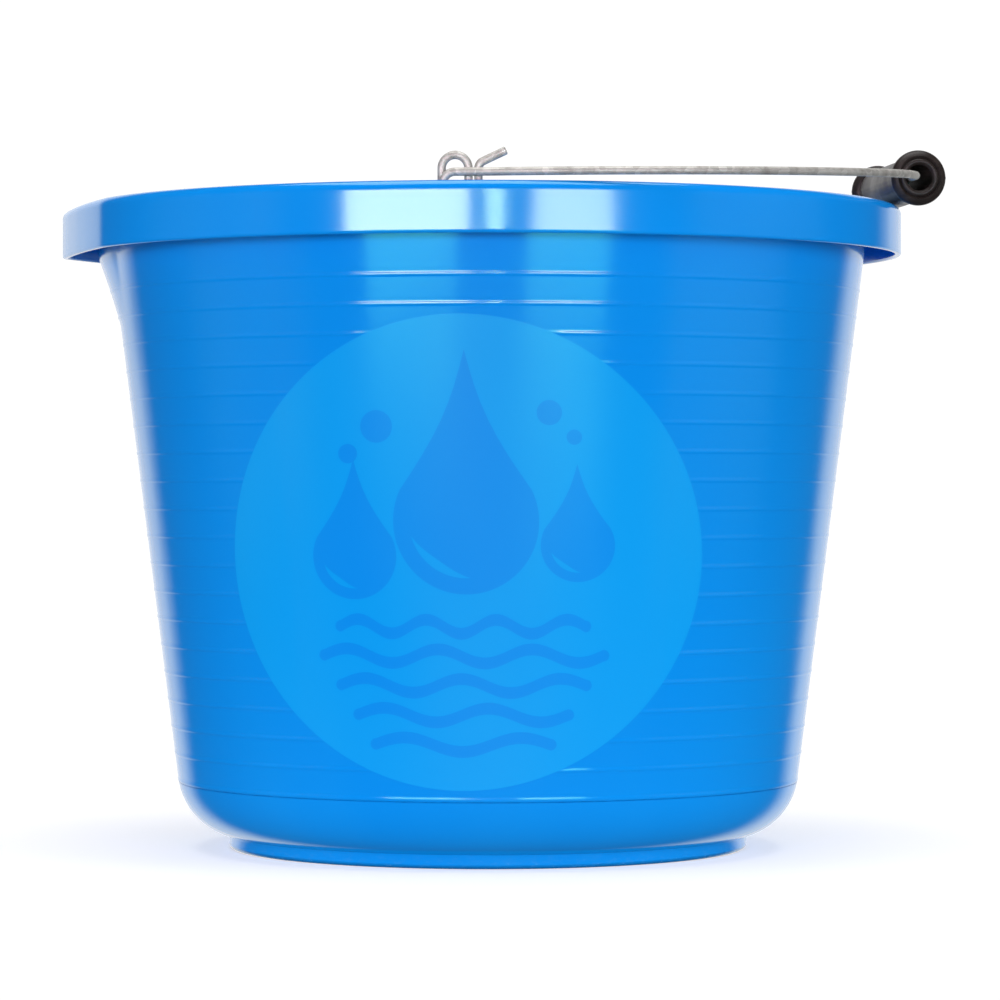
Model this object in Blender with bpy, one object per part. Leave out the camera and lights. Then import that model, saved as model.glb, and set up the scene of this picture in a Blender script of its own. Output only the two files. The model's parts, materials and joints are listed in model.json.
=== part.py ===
"""Wash bucket: a moulded shell with a skirted rim, a steel wire bail and a loose plastic hand grip.

Metres, +Z up. The bucket's axis is the Z axis and its foot ring stands on Z = 0. The pouring spout points
to -X, the two bail eyes sit at -Y and +Y, and the bail lies folded down to +X.
"""

import math

import bmesh
import bpy
from mathutils import Vector

# Overall sizes
RIM_RADIUS = 0.165
HEIGHT = 0.2554
FOOT_RADIUS = 0.1036

# Shell section
WALL = 0.0024
SKIRT_THICK = 0.0025
SKIRT_HEIGHT = 0.0193
FLANGE_THICK = 0.003
CHANNEL = 0.0097
RIM_FILLET = 0.0034
FOOT_FLARE = 0.0168
HEEL_RADIUS = 0.026
HEEL_LEVEL = 0.0048
FLOOR_THICK = 0.003
FLOOR_RECESS = 0.002
FOOT_WIDTH = 0.0065
FOOT_DRAFT = 0.0014
FOOT_EDGE = 0.0020
LIP_EDGE = 0.0022
SKIRT_EDGE = 0.0006
FLOOR_BLEND = 0.006

# Pouring spout
SPOUT_REACH = 0.0078
SPOUT_BOW = 0.0018
SPOUT_RIM_ANGLE = math.radians(30)
SPOUT_WALL_ANGLE = math.radians(18.75)
SPOUT_DEPTH = 0.0474
WALL_BULGE = 0.0076

# Bail wire and its eyes
WIRE_RADIUS = 0.00155
TURN_GAP = 0.0004
WEB_WIDTH = 0.0044
EYE_GAP = 0.00039
ARCH_RISE = 0.00605
ARCH_LEAN = 0.0006
SLOT_GAP = 0.0005
SLOT_CORNER = 0.0016
TAIL_LENGTH = 0.0093
TAIL_ANGLE = math.radians(25)
TAIL_GAP = 0.0001
TAIL_BEND = 0.003
TAIL_LEVEL = 0.00593
LOOP_DROP = 0.0015
LEAD_REACH = 0.012
BOW_SAG = 0.0028
BOW_RISE = 0.0006
BOW_EASE = 0.55

# Hand grip
GRIP_LENGTH = 0.092
GRIP_RADIUS = 0.0085
GUARD_RADIUS = 0.011
GRIP_SWELL = 0.0003
BORE_RADIUS = 0.005
BORE_EASE = 0.0002
RIDGE_INSET = 0.0011
REST_INSET = 0.004
FAR_LIFT = 0.0005
ENTRY_REACH = 0.006
GRIP_LAP = 0.001
GRIP_SLIDE = 0.016
GRIP_SKEW = math.radians(9.6)
BORE_GAP = 0.0004
REST_GAP = 0.0005

# Facets
SEGMENTS = 96
HEEL_STEPS = 6
WIRE_SIDES = 8
GRIP_SIDES = 32
BOW_STEPS = 14
CUT_OVER = 0.001

# Derived places
WALL_TOP_R = RIM_RADIUS - SKIRT_THICK - CHANNEL
WALL_FOOT_R = FOOT_RADIUS + FOOT_FLARE
SLOPE = (WALL_TOP_R - WALL_FOOT_R) / HEIGHT
FLANGE_UNDER = HEIGHT - FLANGE_THICK
SKIRT_BOTTOM = HEIGHT - SKIRT_HEIGHT
PIVOT_Z = HEIGHT - FLANGE_THICK / 2
LANE = 2 * WIRE_RADIUS + TURN_GAP
EYE_R = math.hypot(WEB_WIDTH / 2, FLANGE_THICK / 2) + EYE_GAP + WIRE_RADIUS
EYE_Y = (WALL_TOP_R - SLOPE * FLANGE_THICK + RIM_RADIUS - SKIRT_THICK) / 2
SLOT_WIDTH = LANE + 2 * WIRE_RADIUS + 2 * SLOT_GAP
SLOT_END = EYE_R + ARCH_RISE + WIRE_RADIUS + SLOT_GAP
WIRE_SKEW = GRIP_SKEW - math.atan((BORE_RADIUS - WIRE_RADIUS - BORE_GAP) / (GRIP_LENGTH / 2))


def wall_radius(z):
    """Outer radius of the tapered wall at a height."""
    return WALL_FOOT_R + SLOPE * z


def rim_shift(psi):
    """How far the rim's outline leaves its circle, psi being the angle from the spout's tip.

    Each side of the spout is a slightly bowed arc from the circle to the tip.
    """
    if abs(psi) >= SPOUT_RIM_ANGLE:
        return 0.0
    root = RIM_RADIUS * Vector((math.cos(SPOUT_RIM_ANGLE), math.sin(SPOUT_RIM_ANGLE)))
    tip = Vector((RIM_RADIUS + SPOUT_REACH, 0))
    half = (root - tip).length / 2
    radius = (half**2 + SPOUT_BOW**2) / (2 * SPOUT_BOW)
    outward = Vector((root.y - tip.y, tip.x - root.x)).normalized()
    centre = (root + tip) / 2 - outward * (radius - SPOUT_BOW)
    along = centre.dot(Vector((math.cos(psi), math.sin(abs(psi)))))
    return along + math.sqrt(radius**2 - centre.length_squared + along**2) - RIM_RADIUS


def wall_shift(psi, z):
    """How far the spout bulges the wall outwards."""
    ramp = (z - (HEIGHT - SPOUT_DEPTH)) / (SPOUT_DEPTH - SKIRT_HEIGHT)
    ramp = min(1.0, max(0.0, ramp))
    return WALL_BULGE * ramp * max(0.0, 1 - abs(psi) / SPOUT_WALL_ANGLE)


def shell_section():
    """Half section of the shell as (radius, height, kind), kind 0 for the wall and 1 for the rim."""
    lean = math.atan(SLOPE)
    heel_z = HEEL_LEVEL + HEEL_RADIUS
    heel_r = wall_radius(heel_z) - HEEL_RADIUS / math.cos(lean)
    start = -math.acos((FOOT_RADIUS - heel_r) / HEEL_RADIUS)
    foot_inside = FOOT_RADIUS - FOOT_WIDTH
    pts = [
        (foot_inside - FOOT_DRAFT, FLOOR_RECESS, 0),
        (foot_inside, 0.0, 0),
        (FOOT_RADIUS - FOOT_EDGE, 0.0, 0),
        (FOOT_RADIUS - 0.3 * FOOT_EDGE, 0.3 * FOOT_EDGE, 0),
        (FOOT_RADIUS, FOOT_EDGE, 0),
    ]
    for i in range(HEEL_STEPS + 1):
        a = start + (-lean - start) * i / HEEL_STEPS
        pts.append((heel_r + HEEL_RADIUS * math.cos(a), heel_z + HEEL_RADIUS * math.sin(a), 0))
    for z in (HEIGHT - SPOUT_DEPTH, SKIRT_BOTTOM, FLANGE_UNDER):
        pts.append((wall_radius(z), z, 0))
    inner_skirt = RIM_RADIUS - SKIRT_THICK
    pts += [
        (inner_skirt, FLANGE_UNDER, 1),
        (inner_skirt, SKIRT_BOTTOM + SKIRT_EDGE, 1),
        (inner_skirt + SKIRT_EDGE, SKIRT_BOTTOM, 1),
        (RIM_RADIUS - SKIRT_EDGE, SKIRT_BOTTOM, 1),
        (RIM_RADIUS, SKIRT_BOTTOM + SKIRT_EDGE, 1),
    ]
    for i in range(4):
        a = math.radians(30 * i)
        r = RIM_RADIUS - RIM_FILLET + RIM_FILLET * math.cos(a)
        pts.append((r, HEIGHT - RIM_FILLET + RIM_FILLET * math.sin(a), 1))
    lip = wall_radius(HEIGHT - LIP_EDGE) - WALL
    for i in range(3):
        a = math.radians(90 + 45 * i)
        pts.append((lip + LIP_EDGE * (1 + math.cos(a)), HEIGHT - LIP_EDGE * (1 - math.sin(a)), 0))
    for z in (SKIRT_BOTTOM, HEIGHT - SPOUT_DEPTH):
        pts.append((wall_radius(z) - WALL, z, 0))
    inner = HEEL_RADIUS - WALL
    last = -math.radians(82)
    for i in range(HEEL_STEPS):
        a = -lean + (last + lean) * i / (HEEL_STEPS - 1)
        pts.append((heel_r + inner * math.cos(a), heel_z + inner * math.sin(a), 0))
    pts.append((heel_r - FLOOR_BLEND, FLOOR_RECESS + FLOOR_THICK, 0))
    return pts


def add_object(name, bm, colour, roughness, metallic=0.0, origin=Vector((0, 0, 0))):
    """Turn a bmesh into an object with its own material, its origin at a given place."""
    bmesh.ops.recalc_face_normals(bm, faces=bm.faces)
    bmesh.ops.translate(bm, verts=bm.verts, vec=-origin)
    mesh = bpy.data.meshes.new(name)
    bm.to_mesh(mesh)
    bm.free()
    obj = bpy.data.objects.new(name, mesh)
    obj.location = origin
    bpy.context.scene.collection.objects.link(obj)
    mat = bpy.data.materials.new(name + "_material")
    mat.use_nodes = True
    shader = mat.node_tree.nodes["Principled BSDF"]
    shader.inputs["Base Color"].default_value = (*colour, 1.0)
    shader.inputs["Roughness"].default_value = roughness
    shader.inputs["Metallic"].default_value = metallic
    mesh.materials.append(mat)
    return obj


def bridge(bm, first, second):
    """Quads between two closed rings of equal length."""
    n = len(first)
    for i in range(n):
        j = (i + 1) % n
        bm.faces.new((first[i], first[j], second[j], second[i]))


def build_shell():
    """The moulded bucket: foot ring, floor, tapered wall, spout, flange and skirt in one body."""
    bm = bmesh.new()
    rings = []
    for r, z, kind in shell_section():
        ring = []
        for i in range(SEGMENTS):
            psi = 2 * math.pi * i / SEGMENTS
            away = psi if psi <= math.pi else psi - 2 * math.pi
            shift = rim_shift(away) if kind else wall_shift(away, z)
            rr = r + shift
            ring.append(bm.verts.new((-rr * math.cos(psi), -rr * math.sin(psi), z)))
        rings.append(ring)
    for first, second in zip(rings, rings[1:]):
        bridge(bm, first, second)
    under = bm.verts.new((0, 0, FLOOR_RECESS))
    floor = bm.verts.new((0, 0, FLOOR_RECESS + FLOOR_THICK))
    for pole, ring in ((under, rings[0]), (floor, rings[-1])):
        for i in range(SEGMENTS):
            bm.faces.new((pole, ring[i], ring[(i + 1) % SEGMENTS]))
    shell = add_object("bucket", bm, (0.0, 0.31, 0.87), 0.22)
    for side in (-1, 1):
        for way in (-1, 1):
            cut_slot(shell, side, way)
    return shell


def cut_slot(shell, side, way):
    """Cut one of the two slots beside the web that carries an eye of the bail."""
    near = WEB_WIDTH / 2 + SLOT_CORNER
    far = SLOT_END - SLOT_CORNER
    half = SLOT_WIDTH / 2 - SLOT_CORNER
    outline = []
    for cx, cy, start in ((far, half, 0), (near, half, 90), (near, -half, 180), (far, -half, 270)):
        outline += arc_points(cx, cy, SLOT_CORNER, start, start + 90, 2)
    bm = bmesh.new()
    low = [bm.verts.new((way * x, side * EYE_Y + y, FLANGE_UNDER - CUT_OVER)) for x, y in outline]
    top = [bm.verts.new((way * x, side * EYE_Y + y, HEIGHT + CUT_OVER)) for x, y in outline]
    bridge(bm, low, top)
    bm.faces.new(low)
    bm.faces.new(top)
    cutter = add_object(f"slot_cutter_{side}_{way}", bm, (0.5, 0.5, 0.5), 0.5)
    cutter.hide_render = True
    cutter.display_type = "WIRE"
    mod = shell.modifiers.new("slot", "BOOLEAN")
    mod.operation = "DIFFERENCE"
    mod.solver = "EXACT"
    mod.object = cutter


def arc_points(cu, cw, radius, a0, a1, steps):
    """Points of an arc in a plane, angles in degrees, both ends included."""
    out = []
    for i in range(steps + 1):
        a = math.radians(a0 + (a1 - a0) * i / steps)
        out.append((cu + radius * math.cos(a), cw + radius * math.sin(a)))
    return out


def eye_path(side):
    """Wire from its cut tail, twice round the web, to the straight run over the flange."""
    tail_u = EYE_R + LANE + TAIL_GAP
    left_u = EYE_R + ARCH_LEAN
    turn = math.pi / 2 - TAIL_ANGLE
    start_u = tail_u + TAIL_BEND * (1 - math.cos(turn))
    start_w = TAIL_LEVEL + TAIL_BEND * math.sin(turn)
    pts = [(start_u + TAIL_LENGTH * math.cos(TAIL_ANGLE), start_w + TAIL_LENGTH * math.sin(TAIL_ANGLE), 1.0)]
    for u, w in arc_points(tail_u + TAIL_BEND, TAIL_LEVEL, TAIL_BEND, 180 - math.degrees(turn), 180, 3):
        pts.append((u, w, 1.0))
    mid = (tail_u - left_u) / 2
    for u, w in arc_points(mid, -LOOP_DROP, (tail_u + left_u) / 2, 0, -180, 9):
        pts.append((u, w, 1.0))
    for u, w in arc_points(-ARCH_LEAN / 2, ARCH_RISE, (left_u + EYE_R) / 2, 180, 0, 8):
        pts.append((u, w, 1.0))
    loop = arc_points(0, 0, EYE_R, 0, -180, 8)
    for i, (u, w) in enumerate(loop):
        pts.append((u, w, 1.0 - i / (len(loop) - 1)))
    for u, w in arc_points(0, 0, EYE_R, 180, 90, 4)[1:]:
        pts.append((u, w, 0.0))
    path = []
    for u, w, lane in pts:
        y = EYE_Y + LANE / 2 - LANE * lane
        path.append(Vector((u, side * y, PIVOT_Z + w)))
    return path


def grip_frame():
    """Centre and unit axis of the grip, slid along the wire until its far guard rests on the rim's corner."""
    half = GRIP_LENGTH / 2 - REST_INSET
    far_x = RIM_RADIUS - GRIP_LAP - half * math.sin(GRIP_SKEW)
    far_y = GRIP_SLIDE + half * math.cos(GRIP_SKEW)
    corner = math.sqrt((RIM_RADIUS - RIM_FILLET) ** 2 - far_y**2)
    over = max(0.0, far_x - corner)
    far_z = HEIGHT - RIM_FILLET + math.sqrt((GUARD_RADIUS + RIM_FILLET + REST_GAP) ** 2 - over**2)
    centre = Vector((RIM_RADIUS - GRIP_LAP, GRIP_SLIDE, far_z - FAR_LIFT / 2))
    axis = Vector((-math.sin(GRIP_SKEW), math.cos(GRIP_SKEW), FAR_LIFT / (2 * half))).normalized()
    return centre, axis


def bail_path():
    """Centre line of the whole wire from one cut tail to the other."""
    centre, axis = grip_frame()
    run = Vector((-math.sin(WIRE_SKEW), math.cos(WIRE_SKEW), axis.z)).normalized()
    reach = GRIP_LENGTH / 2 + ENTRY_REACH
    path = eye_path(-1)
    for side in (-1, 1):
        lead = Vector((LEAD_REACH, side * (EYE_Y + LANE / 2), PIVOT_Z + EYE_R))
        entry = centre + run * (side * reach)
        pull = Vector((BOW_EASE * (RIM_RADIUS - LEAD_REACH), 0, BOW_RISE))
        push = run * (side * BOW_EASE * (EYE_Y - abs(entry.y))) - Vector((0, 0, BOW_SAG))
        knots = (lead, lead + pull, entry + push, entry)
        curve = []
        for i in range(BOW_STEPS + 1):
            t = i / BOW_STEPS
            s = 1 - t
            p = knots[0] * s**3 + knots[1] * 3 * s * s * t + knots[2] * 3 * s * t * t + knots[3] * t**3
            curve.append(p)
        if side > 0:
            curve.reverse()
        path += curve
    far = eye_path(1)
    far.reverse()
    return path + far


def tube(bm, path, radius, sides):
    """Closed round bar along a path, its section carried along without twist."""
    n = len(path)
    tangents = []
    for i in range(n):
        a = path[max(i - 1, 0)]
        b = path[min(i + 1, n - 1)]
        tangents.append((b - a).normalized())
    normal = tangents[0].orthogonal().normalized()
    rings = []
    for i, p in enumerate(path):
        if i:
            normal = normal - tangents[i] * normal.dot(tangents[i])
            normal.normalize()
        other = tangents[i].cross(normal)
        ring = []
        for k in range(sides):
            a = 2 * math.pi * (k + 0.5) / sides
            ring.append(bm.verts.new(p + (normal * math.cos(a) + other * math.sin(a)) * radius))
        rings.append(ring)
    for first, second in zip(rings, rings[1:]):
        bridge(bm, first, second)
    bm.faces.new(rings[0])
    bm.faces.new(rings[-1])


def build_bail():
    """The wire bail: two eyes, each twice round its web, and the bow between them."""
    bm = bmesh.new()
    tube(bm, bail_path(), WIRE_RADIUS, WIRE_SIDES)
    return add_object("bail_wire", bm, (0.62, 0.60, 0.56), 0.35, 1.0, Vector((0, 0, PIVOT_Z)))


def grip_section():
    """Half of the grip's section from its bore's mouth to mid length, as (radius, distance from the end)."""
    g = GUARD_RADIUS
    b = BORE_RADIUS
    waist = GRIP_RADIUS
    return [
        (b, BORE_EASE),
        (b + 0.0005, BORE_EASE),
        (b + 0.0007, RIDGE_INSET),
        (b + 0.0015, RIDGE_INSET),
        (b + 0.0017, 0.0),
        (b + 0.0025, 0.0),
        (g - 0.0016, 0.0007),
        (g - 0.0004, 0.0020),
        (g, 0.0036),
        (g - 0.12 * (g - waist), 0.0054),
        (g - 0.56 * (g - waist), 0.0068),
        (g - 0.92 * (g - waist), 0.0078),
        (waist, 0.0095),
    ]


def build_grip():
    """The moulded grip: a tube with a guard at each end, loose on the wire."""
    centre, axis = grip_frame()
    side = axis.cross(Vector((0, 0, 1))).normalized()
    up = side.cross(axis)
    half = GRIP_LENGTH / 2
    section = [(r, -half + s) for r, s in grip_section()]
    section.append((GRIP_RADIUS + GRIP_SWELL, 0.0))
    section += [(r, half - s) for r, s in reversed(grip_section())]
    bm = bmesh.new()
    rings = []
    for r, s in section:
        ring = []
        for k in range(GRIP_SIDES):
            a = 2 * math.pi * k / GRIP_SIDES
            ring.append(bm.verts.new(centre + axis * s + (side * math.cos(a) + up * math.sin(a)) * r))
        rings.append(ring)
    for first, second in zip(rings, rings[1:]):
        bridge(bm, first, second)
    bridge(bm, rings[-1], rings[0])
    return add_object("hand_grip", bm, (0.02, 0.018, 0.018), 0.45, origin=centre)


for old in list(bpy.data.objects):
    bpy.data.objects.remove(old, do_unlink=True)

build_shell()
build_bail()
build_grip()
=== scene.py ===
"""Looks of the wash bucket: moulded shell with fine rings, printed panel, wire bail and hand grip."""

import json
import math

import bmesh
import bpy
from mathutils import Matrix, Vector


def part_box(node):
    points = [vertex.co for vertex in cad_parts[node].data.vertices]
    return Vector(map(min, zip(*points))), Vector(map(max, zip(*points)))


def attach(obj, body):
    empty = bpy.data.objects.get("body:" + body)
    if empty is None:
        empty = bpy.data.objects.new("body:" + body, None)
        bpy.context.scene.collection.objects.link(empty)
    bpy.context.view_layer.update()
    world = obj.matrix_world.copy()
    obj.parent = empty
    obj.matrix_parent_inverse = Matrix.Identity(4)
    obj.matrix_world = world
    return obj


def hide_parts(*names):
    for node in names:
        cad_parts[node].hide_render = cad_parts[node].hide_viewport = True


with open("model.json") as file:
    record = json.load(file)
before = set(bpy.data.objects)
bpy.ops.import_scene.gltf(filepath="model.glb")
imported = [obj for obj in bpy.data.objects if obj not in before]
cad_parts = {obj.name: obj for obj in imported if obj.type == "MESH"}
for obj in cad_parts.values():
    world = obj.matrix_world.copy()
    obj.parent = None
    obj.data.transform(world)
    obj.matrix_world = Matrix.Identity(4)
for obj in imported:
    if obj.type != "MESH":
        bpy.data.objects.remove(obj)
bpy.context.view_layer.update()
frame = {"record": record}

MM = 0.001

# Places read from the frame
BUCKET_LOW, BUCKET_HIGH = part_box("bucket")
RIM_RADIUS = BUCKET_HIGH[1]
HEIGHT = BUCKET_HIGH[2]
HINGE = next(j for j in frame["record"]["behaviour"]["joints"] if j["name"] == "bail_hinge")
SPIN = next(j for j in frame["record"]["behaviour"]["joints"] if j["name"] == "grip_spin")
PIVOT_Z = HINGE["pos_m"][2]
GRIP_CENTRE = Vector(SPIN["pos_m"])
GRIP_AXIS = Vector(SPIN["axis"]).normalized()

# Shell section
FOOT_RADIUS = 103.6 * MM
WALL = 2.4 * MM
SKIRT_THICK = 2.5 * MM
SKIRT_HEIGHT = 19.3 * MM
FLANGE_THICK = 3.0 * MM
CHANNEL = 9.7 * MM
RIM_FILLET = 3.4 * MM
FOOT_FLARE = 16.8 * MM
HEEL_RADIUS = 26 * MM
HEEL_LEVEL = 4.8 * MM
FLOOR_THICK = 3.0 * MM
FLOOR_RECESS = 2.0 * MM
FOOT_WIDTH = 6.5 * MM
SPOUT_REACH = -BUCKET_LOW[0] - RIM_RADIUS
SPOUT_BOW = 1.8 * MM
SPOUT_RIM_ANGLE = math.radians(30)
SPOUT_WALL_ANGLE = math.radians(18.75)
SPOUT_DEPTH = 47.4 * MM
WALL_BULGE = 7.6 * MM
WALL_TOP_R = RIM_RADIUS - SKIRT_THICK - CHANNEL
WALL_FOOT_R = FOOT_RADIUS + FOOT_FLARE
SLOPE = (WALL_TOP_R - WALL_FOOT_R) / HEIGHT
FLANGE_UNDER = HEIGHT - FLANGE_THICK
SKIRT_BOTTOM = HEIGHT - SKIRT_HEIGHT

# Moulded rings round the wall
RING_COUNT = 19
RING_TOP = 222.2 * MM
RING_PITCH = 10.8 * MM
RING_PROUD = 0.20 * MM
RING_SECTION = (
    (1.3, 0), (0.9, 0), (0.5, 0.45), (0.05, 0.95),
    (-0.3, 1), (-0.6, 0.7), (-0.85, 0), (-1.25, 0),
)

# Printed panel
PANEL_Z = 119.4 * MM
PANEL_RADIUS = 88.2 * MM
PRINT_LIFT = 0.10 * MM
PRINT_THICK = 0.35 * MM
PRINT_STEP = 0.05 * MM

# Wire, eyes and grip
WIRE_RADIUS = 1.55 * MM
WEB_WIDTH = 4.4 * MM
EYE_GAP = 0.39 * MM
TURN_GAP = 0.4 * MM
LANE = 2 * WIRE_RADIUS + TURN_GAP
ARCH_RISE = 6.05 * MM
ARCH_LEAN = 0.6 * MM
LOOP_DROP = 1.5 * MM
EYE_R = math.hypot(WEB_WIDTH / 2, FLANGE_THICK / 2) + EYE_GAP + WIRE_RADIUS
EYE_Y = (WALL_TOP_R - SLOPE * FLANGE_THICK + RIM_RADIUS - SKIRT_THICK) / 2
SLOT_PLAY = 0.7 * MM
SLOT_GAP = 0.5 * MM
SLOT_CORNER = 1.6 * MM
SLOT_WIDTH = LANE + 2 * WIRE_RADIUS + SLOT_PLAY
SLOT_END = EYE_R + ARCH_RISE + WIRE_RADIUS + SLOT_GAP
TAIL_GAP = 0.1 * MM
TAIL_BEND = 3 * MM
TAIL_LEVEL = 5.93 * MM
TAIL_LENGTH = 9.3 * MM
TAIL_ANGLE = math.radians(25)
GRIP_LENGTH = 92 * MM
GRIP_RADIUS = 8.5 * MM
GUARD_RADIUS = 11 * MM
GUARD_EASE = 0.14 * MM
SEAM_PROUD = 0.12 * MM
GRIP_SWELL = 0.3 * MM
BORE_RADIUS = 5 * MM
BORE_GAP = 0.4 * MM
GRIP_SKEW = math.atan2(-GRIP_AXIS.x, GRIP_AXIS.y)
WIRE_SKEW = GRIP_SKEW - math.atan((BORE_RADIUS - WIRE_RADIUS - BORE_GAP) / (GRIP_LENGTH / 2))

# Bow of the wire between the eye and the grip
CUT_EASE = 0.35 * MM
EYE_LEAD = 12 * MM
GRIP_LEAD = 6 * MM
BOW_EASE = 0.55
BOW_RISE = 0.6 * MM
BOW_SAG = 2.8 * MM

# Camera
CAMERA_TURN = math.radians(4.3)
CAMERA_DISTANCE = 1.65
CAMERA_HEIGHT = 0.1448
CAMERA_LENS = 147.96
CAMERA_SENSOR = 36
CAMERA_SHIFT_X = 0.012
CAMERA_SHIFT_Y = -0.015

# Mesh density
AROUND = 360
BOW_STEPS = 60
WIRE_SIDES = 20
GRIP_SIDES = 96
PRINT_GRID_X = 3 * MM
PRINT_GRID_Z = 7 * MM

# Surroundings
TABLE_RADIUS = 0.30
WORLD_WHITE = (1.05, 1.05, 1.05)
WORLD_DARK = (0.045, 0.045, 0.05)

# Colours
BLUE = (0.0, 0.265, 0.82)
BLUE_PALE = (0.003, 0.300, 0.84)
CYAN = (0.0, 0.335, 0.86)
CYAN_PALE = (0.003, 0.375, 0.88)
SOFTBOX_TINT = (1.0, 0.74, 0.86)
SPILL_TINT = (0.25, 1.0, 1.0)


# ---------------------------------------------------------------- materials


def new_material(name):
    """A new material, its node tree and its Principled shader."""
    mat = bpy.data.materials.new(name)
    mat.use_nodes = True
    tree = mat.node_tree
    return mat, tree, tree.nodes["Principled BSDF"]


def noise(tree, coords, scale, detail=4.0, rough=0.5, stretch=None):
    """Noise texture read in object space."""
    node = tree.nodes.new("ShaderNodeTexNoise")
    node.inputs["Scale"].default_value = scale
    node.inputs["Detail"].default_value = detail
    node.inputs["Roughness"].default_value = rough
    if stretch:
        mapping = tree.nodes.new("ShaderNodeMapping")
        mapping.inputs["Scale"].default_value = stretch
        tree.links.new(coords, mapping.inputs["Vector"])
        coords = mapping.outputs["Vector"]
    tree.links.new(coords, node.inputs["Vector"])
    return node.outputs["Fac"]


def remap(tree, value, low, high, to_low, to_high):
    """Map Range node from one span to another."""
    node = tree.nodes.new("ShaderNodeMapRange")
    for key, number in (("From Min", low), ("From Max", high), ("To Min", to_low), ("To Max", to_high)):
        node.inputs[key].default_value = number
    tree.links.new(value, node.inputs["Value"])
    return node.outputs["Result"]


def mix(tree, factor, first, second):
    """Mix two colours, each a tuple or a socket."""
    node = tree.nodes.new("ShaderNodeMix")
    node.data_type = "RGBA"
    tree.links.new(factor, node.inputs["Factor"])
    for socket, value in ((node.inputs[6], first), (node.inputs[7], second)):
        if isinstance(value, tuple):
            socket.default_value = (*value, 1.0)
        else:
            tree.links.new(value, socket)
    return node.outputs[2]


def math_node(tree, operation, first, second):
    """Math node on sockets or numbers."""
    node = tree.nodes.new("ShaderNodeMath")
    node.operation = operation
    for socket, value in ((node.inputs[0], first), (node.inputs[1], second)):
        if isinstance(value, (int, float)):
            socket.default_value = value
        else:
            tree.links.new(value, socket)
    return node.outputs[0]


def bump(tree, shader, height, strength, distance):
    """Bump from a height socket."""
    node = tree.nodes.new("ShaderNodeBump")
    node.inputs["Strength"].default_value = strength
    node.inputs["Distance"].default_value = distance
    tree.links.new(height, node.inputs["Height"])
    tree.links.new(node.outputs["Normal"], shader.inputs["Normal"])


def moulded_plastic(name, colour, pale, roughness):
    """Glossy moulded polypropylene: flow mottling, slow waviness, fine texture, scuffs low down."""
    mat, tree, shader = new_material(name)
    coords = tree.nodes.new("ShaderNodeTexCoord").outputs["Object"]
    flow = noise(tree, coords, 9, 3, 0.55, (1.0, 1.0, 0.35))
    tone = mix(tree, remap(tree, flow, 0.35, 0.68, 0.0, 0.5), colour, pale)
    rough = remap(tree, flow, 0.3, 0.7, roughness - 0.025, roughness + 0.035)
    split = tree.nodes.new("ShaderNodeSeparateXYZ")
    tree.links.new(coords, split.inputs["Vector"])
    low = remap(tree, split.outputs["Z"], 0.0, 0.006, 1.0, 0.0)
    rub = remap(tree, noise(tree, coords, 300, 6, 0.7, (1.0, 1.0, 2.4)), 0.50, 0.66, 0.0, 1.0)
    worn = math_node(tree, "MULTIPLY", low, rub)
    tone = mix(tree, math_node(tree, "MULTIPLY", worn, 0.18), tone, (0.10, 0.38, 0.80))
    rough = math_node(tree, "ADD", rough, math_node(tree, "MULTIPLY", worn, 0.2))
    tree.links.new(tone, shader.inputs["Base Color"])
    tree.links.new(rough, shader.inputs["Roughness"])
    shader.inputs["IOR"].default_value = 1.49
    shader.inputs["Specular IOR Level"].default_value = 0.9
    shader.inputs["Specular Tint"].default_value = (0.62, 1.0, 0.5, 1.0)
    speck = math_node(tree, "MULTIPLY", noise(tree, coords, 420, 2, 0.5), 0.012)
    sway = noise(tree, coords, 16, 2, 0.4, (1.0, 1.0, 0.45))
    bump(tree, shader, math_node(tree, "ADD", speck, sway), 0.35, 0.0018)
    return mat


def galvanised(name):
    """Dull zinc with soft spangles, blotchy stains and a fine grain."""
    mat, tree, shader = new_material(name)
    coords = tree.nodes.new("ShaderNodeTexCoord").outputs["Object"]
    cells = tree.nodes.new("ShaderNodeTexVoronoi")
    cells.inputs["Scale"].default_value = 420
    tree.links.new(coords, cells.inputs["Vector"])
    grey = tree.nodes.new("ShaderNodeRGBToBW")
    tree.links.new(cells.outputs["Color"], grey.inputs["Color"])
    blotch = noise(tree, coords, 130, 5, 0.6)
    zinc = mix(tree, grey.outputs["Val"], (0.45, 0.44, 0.40), (0.72, 0.71, 0.66))
    stained = mix(tree, remap(tree, blotch, 0.52, 0.68, 0.0, 0.55), zinc, (0.26, 0.235, 0.21))
    tree.links.new(stained, shader.inputs["Base Color"])
    tree.links.new(remap(tree, blotch, 0.35, 0.7, 0.46, 0.64), shader.inputs["Roughness"])
    shader.inputs["Metallic"].default_value = 0.6
    bump(tree, shader, noise(tree, coords, 1100, 4, 0.7), 0.7, 0.00014)
    return mat


def black_plastic(name):
    """Satin black plastic with a fine spark-eroded texture and light rubbing."""
    mat, tree, shader = new_material(name)
    coords = tree.nodes.new("ShaderNodeTexCoord").outputs["Object"]
    rub = noise(tree, coords, 75, 6, 0.65)
    tone = mix(tree, remap(tree, rub, 0.5, 0.72, 0.0, 1.0), (0.020, 0.0155, 0.0135), (0.050, 0.040, 0.035))
    tree.links.new(tone, shader.inputs["Base Color"])
    tree.links.new(remap(tree, rub, 0.35, 0.7, 0.34, 0.50), shader.inputs["Roughness"])
    shader.inputs["Specular IOR Level"].default_value = 0.35
    bump(tree, shader, noise(tree, coords, 1500, 2, 0.5), 0.22, 0.00006)
    return mat


# ---------------------------------------------------------------- mesh helpers


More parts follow.
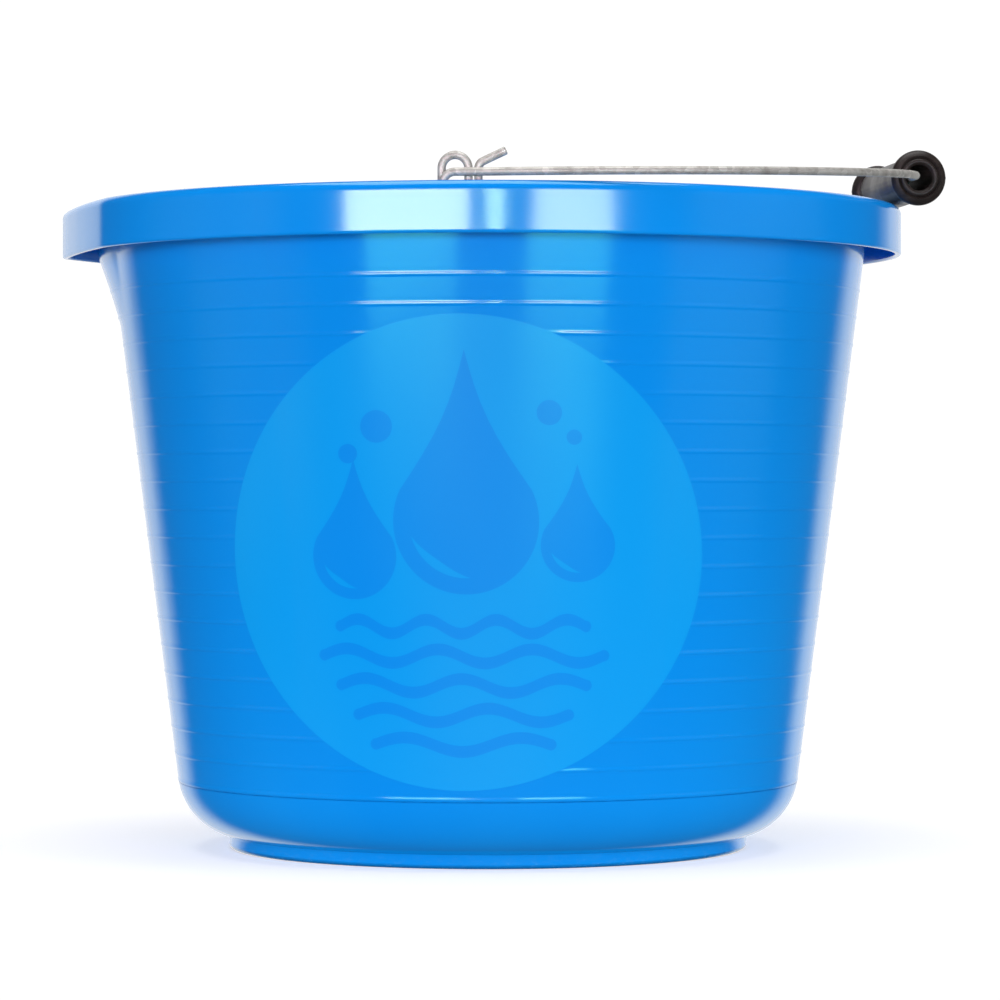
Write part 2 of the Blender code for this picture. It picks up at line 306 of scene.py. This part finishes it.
def add_piece(name, bm, material, body, slot_name, *nodes):
    """Turn a bmesh into a piece that rides on a body and stands for CAD nodes."""
    bmesh.ops.recalc_face_normals(bm, faces=bm.faces)
    mesh = bpy.data.meshes.new(name)
    bm.to_mesh(mesh)
    bm.free()
    mesh.shade_smooth()
    obj = bpy.data.objects.new(name, mesh)
    bpy.context.scene.collection.objects.link(obj)
    mesh.materials.append(material)
    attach(obj, body)
    if nodes:
        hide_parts(*nodes)
    return obj


def bridge(bm, first, second):
    """Quads between two closed rings of equal length."""
    n = len(first)
    for i in range(n):
        j = (i + 1) % n
        bm.faces.new((first[i], first[j], second[j], second[i]))


def cap(bm, ring, pole):
    """Fan that closes a ring at a pole."""
    n = len(ring)
    for i in range(n):
        bm.faces.new((pole, ring[i], ring[(i + 1) % n]))


# ---------------------------------------------------------------- shell


def wall_radius(z):
    """Outer radius of the tapered wall at a height."""
    return WALL_FOOT_R + SLOPE * z


def rim_outline(psi):
    """Rim's departure from its circle: a bowed arc from each root of the spout to its tip."""
    if abs(psi) >= SPOUT_RIM_ANGLE:
        return 0.0
    root = RIM_RADIUS * Vector((math.cos(SPOUT_RIM_ANGLE), math.sin(SPOUT_RIM_ANGLE)))
    tip = Vector((RIM_RADIUS + SPOUT_REACH, 0))
    half = (root - tip).length / 2
    radius = (half**2 + SPOUT_BOW**2) / (2 * SPOUT_BOW)
    outward = Vector((root.y - tip.y, tip.x - root.x)).normalized()
    centre = (root + tip) / 2 - outward * (radius - SPOUT_BOW)
    along = centre.dot(Vector((math.cos(psi), math.sin(abs(psi)))))
    return along + math.sqrt(radius**2 - centre.length_squared + along**2) - RIM_RADIUS


def rim_shift(psi):
    """Rim outline with its corners eased over about a degree, still inside the sharp outline's reach."""
    span = math.radians(0.8)
    return sum(rim_outline(psi + span * k) for k in (-1, -0.5, 0, 0.5, 1)) / 5


def wall_shift(psi, z):
    """How far the spout bulges the wall outwards."""
    ramp = (z - (HEIGHT - SPOUT_DEPTH)) / (SPOUT_DEPTH - SKIRT_HEIGHT)
    ramp = min(1.0, max(0.0, ramp))
    share = max(0.0, 1 - math.hypot(psi, 0.02) / SPOUT_WALL_ANGLE)
    return WALL_BULGE * ramp * share


def smooth(value):
    """Smooth step from 0 to 1."""
    value = min(1.0, max(0.0, value))
    return value * value * (3 - 2 * value)


def panel_mask(x, y, z):
    """1 inside the smooth panel on the front of the wall, 0 outside it."""
    if y > 0:
        return 0.0
    away = math.hypot(x, z - PANEL_Z)
    return 1 - smooth((away - PANEL_RADIUS + 0.3 * MM) / (1.6 * MM))


def arc(cx, cz, radius, a0, a1, steps):
    """Points along an arc, angles in degrees, both ends included."""
    out = []
    for i in range(steps + 1):
        a = math.radians(a0 + (a1 - a0) * i / steps)
        out.append((cx + radius * math.cos(a), cz + radius * math.sin(a)))
    return out


def wall_heights():
    """Heights up the outer wall, with how far each one stands proud in a ring."""
    rings = []
    for k in range(RING_COUNT):
        centre = RING_TOP - RING_PITCH * k
        for dz, share in RING_SECTION:
            rings.append((centre + dz * MM, share * RING_PROUD))
    rings.append((HEIGHT - SPOUT_DEPTH + 0.4 * MM, 0.0))
    rings += [(z * MM, 0.0) for z in (226, 230, 233, 236, 240, 245)]
    return sorted(rings)


def shell_section():
    """Half section as (radius, height, kind, proud), kind 0 for the wall, 1 for the rim."""
    lean = math.degrees(math.atan(SLOPE))
    heel_z = HEEL_LEVEL + HEEL_RADIUS
    heel_r = wall_radius(heel_z) - HEEL_RADIUS / math.cos(math.radians(lean))
    start = -math.degrees(math.acos((FOOT_RADIUS - heel_r) / HEEL_RADIUS))
    foot_in = FOOT_RADIUS - FOOT_WIDTH
    pts = [(r * MM, FLOOR_RECESS) for r in (9, 30, 60, 85)]
    pts += arc(foot_in - 2.2 * MM, FLOOR_RECESS - 0.8 * MM, 0.8 * MM, 90, 30, 3)
    pts += arc(foot_in + 0.2 * MM, 0.8 * MM, 0.8 * MM, 200, 270, 3)
    pts += arc(FOOT_RADIUS - 2.0 * MM, 2.0 * MM, 2.0 * MM, -90, 0, 7)
    pts.append((FOOT_RADIUS, 4.6 * MM))
    pts += arc(heel_r, heel_z, HEEL_RADIUS, start + 1.0, -lean, 14)
    section = [(r, z, 0, 0.0) for r, z in pts]
    section += [(wall_radius(z), z, 0, proud) for z, proud in wall_heights()]
    root = arc(wall_radius(FLANGE_UNDER) + 1.2 * MM, FLANGE_UNDER - 1.2 * MM, 1.2 * MM, 180, 90, 4)
    section += [(r, z, 0, 0.0) for r, z in root]
    inner = RIM_RADIUS - SKIRT_THICK
    rim = arc(inner - 1.0 * MM, FLANGE_UNDER - 1.0 * MM, 1.0 * MM, 90, 0, 4)
    rim.append((inner, HEIGHT - SKIRT_HEIGHT / 2))
    rim += arc(inner + 0.9 * MM, SKIRT_BOTTOM + 0.9 * MM, 0.9 * MM, 180, 270, 4)
    rim += arc(RIM_RADIUS - 0.9 * MM, SKIRT_BOTTOM + 0.9 * MM, 0.9 * MM, -90, 0, 4)
    face = (SKIRT_BOTTOM + 1.4 * MM, HEIGHT - SKIRT_HEIGHT / 2, HEIGHT - RIM_FILLET - 0.5 * MM)
    rim += [(RIM_RADIUS, z) for z in face]
    rim += arc(RIM_RADIUS - RIM_FILLET, HEIGHT - RIM_FILLET, RIM_FILLET, 0, 90, 10)
    section += [(r, z, 1, 0.0) for r, z in rim]
    mouth = wall_radius(HEIGHT - 2.2 * MM) - WALL
    lip = arc(mouth + 2.2 * MM, HEIGHT - 2.2 * MM, 2.2 * MM, 90, 180, 7)
    inside = [(wall_radius(z * MM) - WALL, z * MM) for z in (245, 236, 222, 208, 190, 150, 110, 70, 40)]
    inside += arc(heel_r, heel_z, HEEL_RADIUS - WALL, -lean, -80, 12)
    floor = FLOOR_RECESS + FLOOR_THICK
    inside += [(heel_r - 3 * MM, floor + 1.2 * MM), (heel_r - 6 * MM, floor + 0.2 * MM)]
    inside.append((heel_r - 9 * MM, floor))
    inside += [(r * MM, floor) for r in (60, 30, 9)]
    section += [(r, z, 0, 0.0) for r, z in lip + inside]
    return section


def shell_point(r, z, kind, proud, psi):
    """Where a point of the section lies at an angle from the spout."""
    away = psi if psi <= math.pi else psi - 2 * math.pi
    rr = r + (rim_shift(away) if kind else wall_shift(away, z))
    x = -rr * math.cos(psi)
    y = -rr * math.sin(psi)
    if proud:
        rr += proud * (1 - panel_mask(x, y, z))
        x = -rr * math.cos(psi)
        y = -rr * math.sin(psi)
    return x, y, z


def slot_cutters():
    """One mesh of the four slots beside the two webs."""
    bm = bmesh.new()
    for side in (-1, 1):
        for way in (-1, 1):
            outline = []
            half = SLOT_WIDTH / 2 - SLOT_CORNER
            for cx, cy, a0 in (
                (SLOT_END - SLOT_CORNER, half, 0),
                (WEB_WIDTH / 2 + SLOT_CORNER, half, 90),
                (WEB_WIDTH / 2 + SLOT_CORNER, -half, 180),
                (SLOT_END - SLOT_CORNER, -half, 270),
            ):
                outline += arc(cx, cy, SLOT_CORNER, a0, a0 + 90, 5)
            low = [bm.verts.new((way * x, side * EYE_Y + y, FLANGE_UNDER - 1 * MM)) for x, y in outline]
            top = [bm.verts.new((way * x, side * EYE_Y + y, HEIGHT + 1 * MM)) for x, y in outline]
            bridge(bm, low, top)
            bm.faces.new(low)
            bm.faces.new(top)
    bmesh.ops.recalc_face_normals(bm, faces=bm.faces)
    mesh = bpy.data.meshes.new("slot_cutters")
    bm.to_mesh(mesh)
    bm.free()
    obj = bpy.data.objects.new("slot_cutters", mesh)
    bpy.context.scene.collection.objects.link(obj)
    return obj


def cut(obj, cutter):
    """Cut one mesh from another and drop the cutter."""
    mod = obj.modifiers.new("cut", "BOOLEAN")
    mod.operation = "DIFFERENCE"
    mod.solver = "EXACT"
    mod.object = cutter
    depsgraph = bpy.context.evaluated_depsgraph_get()
    mesh = bpy.data.meshes.new_from_object(obj.evaluated_get(depsgraph))
    obj.modifiers.clear()
    obj.data = mesh
    bpy.data.objects.remove(cutter, do_unlink=True)


def build_shell(material):
    """The moulded bucket with its rings, spout, skirt and foot."""
    bm = bmesh.new()
    rings = []
    for r, z, kind, proud in shell_section():
        ring = []
        for i in range(AROUND):
            psi = 2 * math.pi * i / AROUND
            ring.append(bm.verts.new(shell_point(r, z, kind, proud, psi)))
        rings.append(ring)
    for first, second in zip(rings, rings[1:]):
        bridge(bm, first, second)
    cap(bm, rings[0], bm.verts.new((0, 0, FLOOR_RECESS)))
    cap(bm, rings[-1], bm.verts.new((0, 0, FLOOR_RECESS + FLOOR_THICK)))
    shell = add_piece("bucket_skin", bm, material, "shell", "blue_plastic", "bucket")
    cut(shell, slot_cutters())
    shell.data.set_sharp_from_angle(angle=math.radians(38))


# ---------------------------------------------------------------- printed panel


def front_point(x, z, lift):
    """Point on the front of the wall, seen square on, lifted off its surface."""
    r = wall_radius(z) + lift
    return Vector((x, -math.sqrt(r * r - x * x), z))


def print_patch(bm, outline, lift):
    """Thin patch of print that follows the wall, from its outline in x and z about the panel's centre."""
    patch = bmesh.new()
    patch.faces.new([patch.verts.new((x, 0, z)) for x, z in outline])
    xs = [x for x, _ in outline]
    zs = [z for _, z in outline]
    for low, high, step, normal in (
        (min(xs), max(xs), PRINT_GRID_X, (1, 0, 0)),
        (min(zs), max(zs), PRINT_GRID_Z, (0, 0, 1)),
    ):
        count = int((high - low) / step)
        for i in range(1, count + 1):
            at = low + (high - low) * i / (count + 1)
            bmesh.ops.bisect_plane(
                patch,
                geom=patch.verts[:] + patch.edges[:] + patch.faces[:],
                plane_co=(at * normal[0], 0, at * normal[2]),
                plane_no=normal,
                dist=1e-6,
            )
    patch.verts.index_update()
    top = [bm.verts.new(front_point(v.co.x, PANEL_Z + v.co.z, lift)) for v in patch.verts]
    low = [bm.verts.new(front_point(v.co.x, PANEL_Z + v.co.z, lift - PRINT_THICK)) for v in patch.verts]
    for face in patch.faces:
        ids = [v.index for v in face.verts]
        bm.faces.new([top[i] for i in ids])
        bm.faces.new([low[i] for i in reversed(ids)])
    for edge in patch.edges:
        if len(edge.link_faces) == 1:
            a, b = (v.index for v in edge.verts)
            bm.faces.new((top[a], top[b], low[b], low[a]))
    patch.free()


def circle(cx, cz, radius, steps=48):
    """Closed circle outline."""
    return arc(cx, cz, radius, 0, 360, steps)[:-1]


def drop(cx, cz, radius, height):
    """Water drop outline: a round foot drawn up to a point."""
    lean = math.degrees(math.asin(radius / height))
    out = arc(cx, cz, radius, 180 - lean, 360 + lean, 44)
    tip = Vector((cx, cz + height))
    for start, end in ((Vector(out[-1]), tip), (tip, Vector(out[0]))):
        side = 1 if start.y < end.y else -1
        for i in range(1, 9):
            t = i / 8
            p = start.lerp(end, t)
            pinch = 0.13 * radius * math.sin(math.pi * t)
            out.append((p.x - side * pinch, p.y))
    return out[:-1]


def wave(cx, cz, width, thick, swell, cycles):
    """Wavy band outline with round ends."""
    steps = 60
    out = []
    for i in range(steps + 1):
        t = i / steps
        x = cx - width / 2 + width * t
        out.append((x, cz + swell * math.sin(2 * math.pi * cycles * t) - thick / 2))
    x1, z1 = out[-1]
    out += arc(x1, z1 + thick / 2, thick / 2, -90, 90, 8)[1:]
    for i in range(1, steps + 1):
        t = 1 - i / steps
        x = cx - width / 2 + width * t
        out.append((x, cz + swell * math.sin(2 * math.pi * cycles * t) + thick / 2))
    x0, z0 = out[-1]
    out += arc(x0, z0 - thick / 2, thick / 2, 90, 270, 8)[1:-1]
    return out


def crescent(cx, cz, radius, start, end, thick):
    """Thin crescent along part of a circle, angles in degrees."""
    steps = 24
    out = arc(cx, cz, radius, start, end, steps)
    for i in range(1, steps):
        t = 1 - i / steps
        a = math.radians(start + (end - start) * t)
        inner = radius - thick * math.sin(math.pi * t)
        out.append((cx + inner * math.cos(a), cz + inner * math.sin(a)))
    return out


def print_layer(name, outlines, lift, material):
    """One printed layer of the panel as its own piece."""
    bm = bmesh.new()
    for outline in outlines:
        print_patch(bm, outline, lift)
    layer = add_piece(name, bm, material, "shell", "blue_plastic")
    layer.data.set_sharp_from_angle(angle=math.radians(40))


def build_panel(pale, blue):
    """The pale printed disc on the front with a plain emblem of drops, bubbles and waves on it."""
    drops = [
        drop(2 * MM, 12 * MM, 27 * MM, 63 * MM),
        drop(-40 * MM, -1 * MM, 16 * MM, 36 * MM),
        drop(43 * MM, 3 * MM, 13.5 * MM, 30 * MM),
    ]
    bubbles = [
        circle(-31 * MM, 47 * MM, 6 * MM),
        circle(-42 * MM, 37 * MM, 3.6 * MM),
        circle(33 * MM, 52 * MM, 4.6 * MM),
        circle(42 * MM, 43 * MM, 2.8 * MM),
    ]
    waves = []
    for row in range(5):
        width = (104 - 13 * abs(row - 1)) * MM
        waves.append(wave(0.0, (-27 - 11 * row) * MM, width, 4.4 * MM, 2.6 * MM, 3.5 - 0.5 * row))
    shines = [
        crescent(2 * MM, 12 * MM, 21 * MM, 195, 275, 3.4 * MM),
        crescent(-40 * MM, -1 * MM, 12 * MM, 195, 275, 2.2 * MM),
        crescent(43 * MM, 3 * MM, 10 * MM, 195, 275, 1.9 * MM),
    ]
    print_layer("printed_panel", [circle(0, 0, PANEL_RADIUS, 240)], PRINT_LIFT, pale)
    print_layer("printed_emblem", drops + bubbles + waves, PRINT_LIFT + PRINT_STEP, blue)
    print_layer("printed_shine", shines, PRINT_LIFT + 2 * PRINT_STEP, pale)


# ---------------------------------------------------------------- bail and grip


def eye_path(side):
    """Wire from its cut tail, twice round the web, to the straight run over the flange."""
    tail_u = EYE_R + LANE + TAIL_GAP
    left_u = EYE_R + ARCH_LEAN
    turn = math.pi / 2 - TAIL_ANGLE
    start_u = tail_u + TAIL_BEND - TAIL_BEND * math.cos(turn)
    start_w = TAIL_LEVEL + TAIL_BEND * math.sin(turn)
    tip = (start_u + TAIL_LENGTH * math.cos(TAIL_ANGLE), start_w + TAIL_LENGTH * math.sin(TAIL_ANGLE))
    pts = [(*tip, 1.0), ((tip[0] + start_u) / 2, (tip[1] + start_w) / 2, 1.0)]
    hook = arc(tail_u + TAIL_BEND, TAIL_LEVEL, TAIL_BEND, 180 - math.degrees(turn), 180, 8)
    pts += [(u, w, 1.0) for u, w in hook]
    mid = (tail_u - left_u) / 2
    pts += [(u, w, 1.0) for u, w in arc(mid, -LOOP_DROP, (tail_u + left_u) / 2, 0, -180, 26)]
    pts.append((-left_u, 2 * MM, 1.0))
    pts += [(u, w, 1.0) for u, w in arc((EYE_R - left_u) / 2, ARCH_RISE, (left_u + EYE_R) / 2, 180, 0, 24)]
    pts.append((EYE_R, 3 * MM, 1.0))
    loop = arc(0, 0, EYE_R, 0, -180, 24)
    pts += [(u, w, 1.0 - smooth(i / (len(loop) - 1))) for i, (u, w) in enumerate(loop)]
    pts += [(u, w, 0.0) for u, w in arc(0, 0, EYE_R, 180, 90, 12)[1:]]
    pts.append((6 * MM, EYE_R, 0.0))
    path = []
    for u, w, lane in pts:
        y = EYE_Y + LANE / 2 - LANE * lane
        path.append(Vector((u, side * y, PIVOT_Z + w)))
    return path


def bail_path():
    """Centre line of the whole wire from one cut tail to the other."""
    run = Vector((-math.sin(WIRE_SKEW), math.cos(WIRE_SKEW), GRIP_AXIS.z)).normalized()
    reach = GRIP_LENGTH / 2 + GRIP_LEAD
    path = eye_path(-1)
    for side in (-1, 1):
        lead = Vector((EYE_LEAD, side * (EYE_Y + LANE / 2), PIVOT_Z + EYE_R))
        entry = GRIP_CENTRE + run * (side * reach)
        pull = Vector((BOW_EASE * (RIM_RADIUS - EYE_LEAD), 0, BOW_RISE))
        push = run * (side * BOW_EASE * (EYE_Y - abs(entry.y))) + Vector((0, 0, -BOW_SAG))
        knots = (lead, lead + pull, entry + push, entry)
        curve = []
        for i in range(BOW_STEPS + 1):
            t = i / BOW_STEPS
            s = 1 - t
            p = knots[0] * s**3 + knots[1] * 3 * s * s * t + knots[2] * 3 * s * t * t + knots[3] * t**3
            curve.append(p)
        if side > 0:
            curve.reverse()
        path += curve
    far = eye_path(1)
    far.reverse()
    return path + far


def build_bail(material):
    """The wire bail as one round bar with lightly rounded cut ends."""
    bm = bmesh.new()
    path = bail_path()
    n = len(path)
    tangents = []
    for i in range(n):
        step = path[min(i + 1, n - 1)] - path[max(i - 1, 0)]
        tangents.append(step.normalized())
    normal = tangents[0].orthogonal().normalized()
    stations = [(path[0], tangents[0], WIRE_RADIUS - CUT_EASE)]
    stations.append((path[0] + tangents[0] * CUT_EASE, tangents[0], WIRE_RADIUS))
    stations += [(p, t, WIRE_RADIUS) for p, t in zip(path[1:-1], tangents[1:-1])]
    stations.append((path[-1] - tangents[-1] * CUT_EASE, tangents[-1], WIRE_RADIUS))
    stations.append((path[-1], tangents[-1], WIRE_RADIUS - CUT_EASE))
    rings = []
    for p, tangent, radius in stations:
        normal = normal - tangent * normal.dot(tangent)
        normal.normalize()
        other = tangent.cross(normal)
        ring = []
        for k in range(WIRE_SIDES):
            a = 2 * math.pi * k / WIRE_SIDES
            ring.append(bm.verts.new(p + (normal * math.cos(a) + other * math.sin(a)) * radius))
        rings.append(ring)
    for first, second in zip(rings, rings[1:]):
        bridge(bm, first, second)
    bm.faces.new(rings[0])
    bm.faces.new(rings[-1])
    bail = add_piece("bail_wire_round", bm, material, "bail", "galvanised_wire", "bail_wire")
    bail.data.set_sharp_from_angle(angle=math.radians(35))


def grip_section():
    """Half of the grip's section from the bore's mouth to mid length, as (radius, distance from the end)."""
    g = GUARD_RADIUS - GUARD_EASE
    b = BORE_RADIUS
    pts = [(b, 1.6 * MM), (b + 0.15 * MM, 0.9 * MM)]
    pts += arc(b + 1.35 * MM, 1.1 * MM, 1.1 * MM, 195, 345, 12)
    pts += [(b + 2.55 * MM, 1.35 * MM), (b + 2.8 * MM, 1.15 * MM)]
    for i in range(13):
        a = math.radians(-72 + 162 * i / 12)
        pts.append((g - 3.4 * MM + 3.4 * MM * math.cos(a), 3.6 * MM + 3.3 * MM * math.sin(a)))
    for i in range(1, 9):
        t = i / 8
        pts.append((g - 3.4 * MM + (GRIP_RADIUS - g + 3.4 * MM) * smooth(t), (6.9 + 3.1 * t) * MM))
    return pts


def build_grip(material):
    """The moulded grip with a guard at each end and a parting line along it."""
    side = GRIP_AXIS.cross(Vector((0, 0, 1))).normalized()
    up = side.cross(GRIP_AXIS)
    half = GRIP_LENGTH / 2
    end = grip_section()
    section = [(r, -half + s) for r, s in end]
    for i in range(1, 12):
        t = i / 12
        swell = GRIP_SWELL * math.sin(math.pi * t)
        section.append((GRIP_RADIUS + swell, (-half + 10 * MM) * (1 - 2 * t)))
    section += [(r, half - s) for r, s in reversed(end)]
    bm = bmesh.new()
    rings = []
    for r, s in section:
        ring = []
        for k in range(GRIP_SIDES):
            a = 2 * math.pi * k / GRIP_SIDES
            seam = 0.0
            if r > BORE_RADIUS + 2 * MM and k % (GRIP_SIDES // 2) == 0:
                seam = SEAM_PROUD
            rr = min(r + seam, GUARD_RADIUS - GUARD_EASE)
            outward = side * math.cos(a) + up * math.sin(a)
            ring.append(bm.verts.new(GRIP_CENTRE + GRIP_AXIS * s + outward * rr))
        rings.append(ring)
    for first, second in zip(rings, rings[1:]):
        bridge(bm, first, second)
    bridge(bm, rings[-1], rings[0])
    grip = add_piece("hand_grip_moulded", bm, material, "grip", "black_plastic", "hand_grip")
    grip.data.set_sharp_from_angle(angle=math.radians(45))


# ---------------------------------------------------------------- floor, light and camera


def view_frame(azimuth_deg, distance, height):
    """A point seen from the bucket's axis at an angle from the camera's direction."""
    a = CAMERA_TURN + math.radians(azimuth_deg)
    return Vector((distance * math.sin(a), -distance * math.cos(a), height))


def area_light(name, azimuth_deg, distance, height, size, power, aim_z, tint=(1, 1, 1)):
    """Soft box facing the bucket's axis."""
    data = bpy.data.lights.new(name, "AREA")
    data.shape = "RECTANGLE"
    data.size = size[0]
    data.size_y = size[1]
    data.energy = power
    data.color = tint
    obj = bpy.data.objects.new(name, data)
    bpy.context.scene.collection.objects.link(obj)
    obj.location = view_frame(azimuth_deg, distance, height)
    aim = Vector((0, 0, aim_z)) - obj.location
    obj.rotation_euler = aim.to_track_quat("-Z", "Y").to_euler()
    return obj


def build_floor():
    """Round white table top that glows faintly, so it only shows a soft contact shade."""
    bm = bmesh.new()
    bmesh.ops.create_circle(bm, cap_ends=True, segments=96, radius=TABLE_RADIUS)
    mesh = bpy.data.meshes.new("floor")
    bm.to_mesh(mesh)
    bm.free()
    floor = bpy.data.objects.new("floor", mesh)
    bpy.context.scene.collection.objects.link(floor)
    mat, _, shader = new_material("floor_white")
    shader.inputs["Base Color"].default_value = (0.75, 0.75, 0.75, 1)
    shader.inputs["Roughness"].default_value = 0.9
    shader.inputs["Specular IOR Level"].default_value = 0.0
    shader.inputs["Emission Color"].default_value = (1, 1, 1, 1)
    shader.inputs["Emission Strength"].default_value = 0.52
    mesh.materials.append(mat)
    floor.visible_glossy = False
    floor.visible_diffuse = False


def build_world():
    """Pale surroundings all round to look at, which light the bucket from its far side only."""
    world = bpy.data.worlds.new("studio")
    bpy.context.scene.world = world
    world.use_nodes = True
    tree = world.node_tree
    back = tree.nodes["Background"]
    coords = tree.nodes.new("ShaderNodeTexCoord")
    dot = tree.nodes.new("ShaderNodeVectorMath")
    dot.operation = "DOT_PRODUCT"
    dot.inputs[1].default_value = (-math.sin(CAMERA_TURN), math.cos(CAMERA_TURN), 0)
    tree.links.new(coords.outputs["Generated"], dot.inputs[0])
    ramp = remap(tree, dot.outputs["Value"], 0.72, 0.85, 0.0, 1.0)
    tone = mix(tree, ramp, WORLD_DARK, WORLD_WHITE)
    seen = tree.nodes.new("ShaderNodeLightPath").outputs["Is Camera Ray"]
    tree.links.new(mix(tree, seen, tone, WORLD_WHITE), back.inputs["Color"])
    back.inputs["Strength"].default_value = 1.0


def build_camera():
    """Level camera at the photograph's height, with the frame moved a little by shift."""
    data = bpy.data.cameras.new("camera")
    data.lens = CAMERA_LENS
    data.sensor_width = CAMERA_SENSOR
    data.shift_x = CAMERA_SHIFT_X
    data.shift_y = CAMERA_SHIFT_Y
    data.clip_end = 100
    camera = bpy.data.objects.new("camera", data)
    bpy.context.scene.collection.objects.link(camera)
    camera.location = view_frame(0, CAMERA_DISTANCE, CAMERA_HEIGHT)
    camera.rotation_euler = (math.pi / 2, 0, CAMERA_TURN)
    bpy.context.scene.camera = camera


blue_material = moulded_plastic("blue_polypropylene", BLUE, BLUE_PALE, 0.13)
cyan_material = moulded_plastic("panel_print_cyan", CYAN, CYAN_PALE, 0.20)
emblem_material = moulded_plastic("emblem_print_blue", BLUE, BLUE_PALE, 0.20)

build_shell(blue_material)
build_panel(cyan_material, emblem_material)
build_bail(galvanised("galvanised_zinc"))
build_grip(black_plastic("satin_black"))
build_floor()
build_world()
area_light("softbox_left", -21, 1.75, 0.325, (1.00, 0.26), 12.0, 0.24, SOFTBOX_TINT)
area_light("softbox_left_spill", -22.5, 1.75, 0.04, (0.80, 0.30), 2.5, 0.2, SPILL_TINT)
area_light("softbox_right", 22, 1.75, 0.325, (0.64, 0.26), 6.0, 0.24, SOFTBOX_TINT)
area_light("softbox_right_spill", 23, 1.75, 0.04, (0.72, 0.30), 2.5, 0.2, SPILL_TINT)
area_light("round_lamp_high", 1.5, 1.8, 0.40, (0.11, 0.05), 0.5, 0.22)
area_light("round_lamp_low", 1.9, 1.8, 0.31, (0.10, 0.05), 0.5, 0.22)
area_light("overhead", 0, 0.1, 1.9, (1.6, 1.6), 24, 0.0)
FILLS = (("left", -76, 0.3, 5.5), ("right", 76, 0.3, 8.0), ("low", 0, 0.02, 1.6))
for name, azimuth, height, power in FILLS:
    fill = area_light("fill_" + name, azimuth, 1.3, height, (1.0, 0.7), power, 0.1)
    fill.visible_glossy = False
bounce = area_light("fill_bounce", 0, 0, 0.001, (0.6, 0.6), 0.5, 0.1)
bounce.visible_glossy = False
bounce.visible_camera = False
build_camera()
bpy.context.scene.view_settings.view_transform = "Standard"
